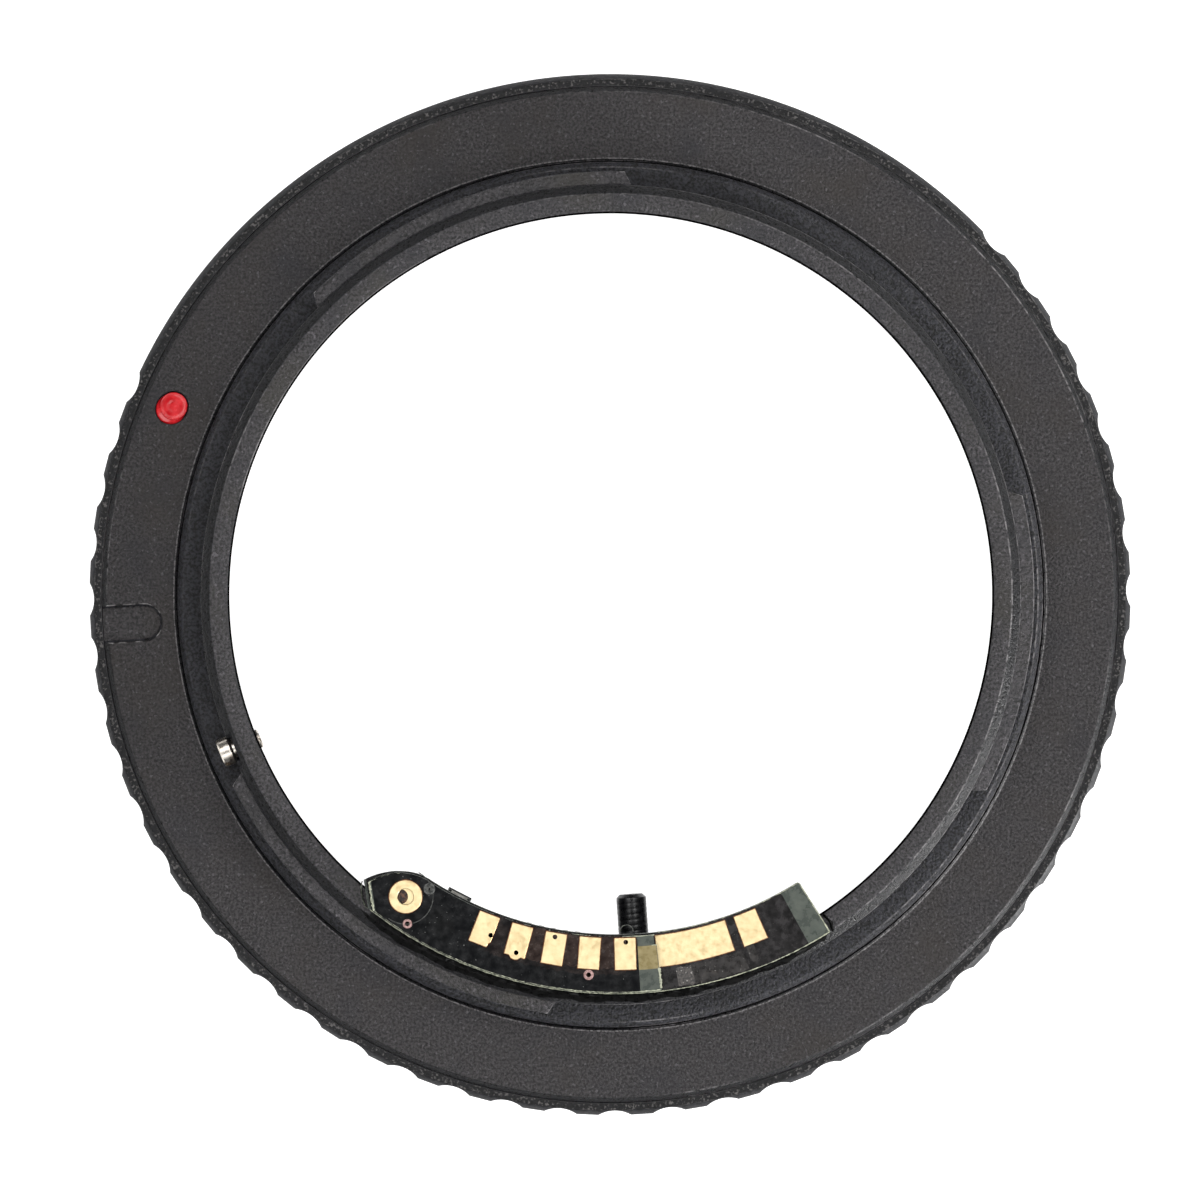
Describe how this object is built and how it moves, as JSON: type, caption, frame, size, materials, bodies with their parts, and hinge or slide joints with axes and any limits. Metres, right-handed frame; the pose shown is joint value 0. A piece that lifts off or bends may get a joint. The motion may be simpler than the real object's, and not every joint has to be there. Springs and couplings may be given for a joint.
{
  "type": "lens mount adapter",
  "caption": "Black aluminium ring that joins a breech-lock lens to a bayonet camera body, with a turning fluted aperture ring, a lever stud and a gold contact chip.",
  "frame": {"origin": "centre of the camera flange face, on the optical axis, where the pilot rises from it", "axes": "+Z along the optical axis into the camera, +Y towards the camera's top, +X to the right seen from the camera's side"},
  "size_m": [0.0656, 0.0656, 0.0164],
  "materials": {
    "black_anodised_aluminium": "bead blasted and black anodised",
    "ring_anodised_aluminium": "turned, milled and black anodised",
    "blackened_steel": "black oxide",
    "bright_steel": "nickel plated",
    "red_enamel": "glossy drop of enamel",
    "black_epoxy": "cured glue",
    "black_circuit_board": "glossy solder mask on glass fibre",
    "contact_gold": "gold plated copper",
    "moulded_package": "moulded epoxy",
    "tan_ceramic": "fired ceramic with tinned ends"
  },
  "bodies": {
    "mount": {"camera_mount": "black_anodised_aluminium", "lens_mount": "black_anodised_aluminium", "stop_screw": "bright_steel", "assembly_screws": "blackened_steel", "camera_index_dot": "red_enamel", "lens_index_dot": "red_enamel", "chip_adhesive": "black_epoxy", "chip_base_board": "black_circuit_board", "chip_upper_board": "black_circuit_board", "ring_pad": "contact_gold", "controller_ic": "moulded_package", "chip_capacitor": "tan_ceramic", "contact_pad_1": "contact_gold", "contact_pad_2": "contact_gold", "contact_pad_3": "contact_gold", "contact_pad_4": "contact_gold", "contact_pad_5": "contact_gold", "contact_pad_6": "contact_gold", "contact_pad_7": "contact_gold"},
    "ring": {"aperture_ring": "ring_anodised_aluminium", "lever_stud": "blackened_steel"}
  },
  "joints": [
    {"name": "aperture_turn", "type": "hinge", "parent": "mount", "child": "ring", "pos_m": [0, 0, -0.0039], "axis": [0, 0, 1], "range_deg": [0, 38]}
  ]
}
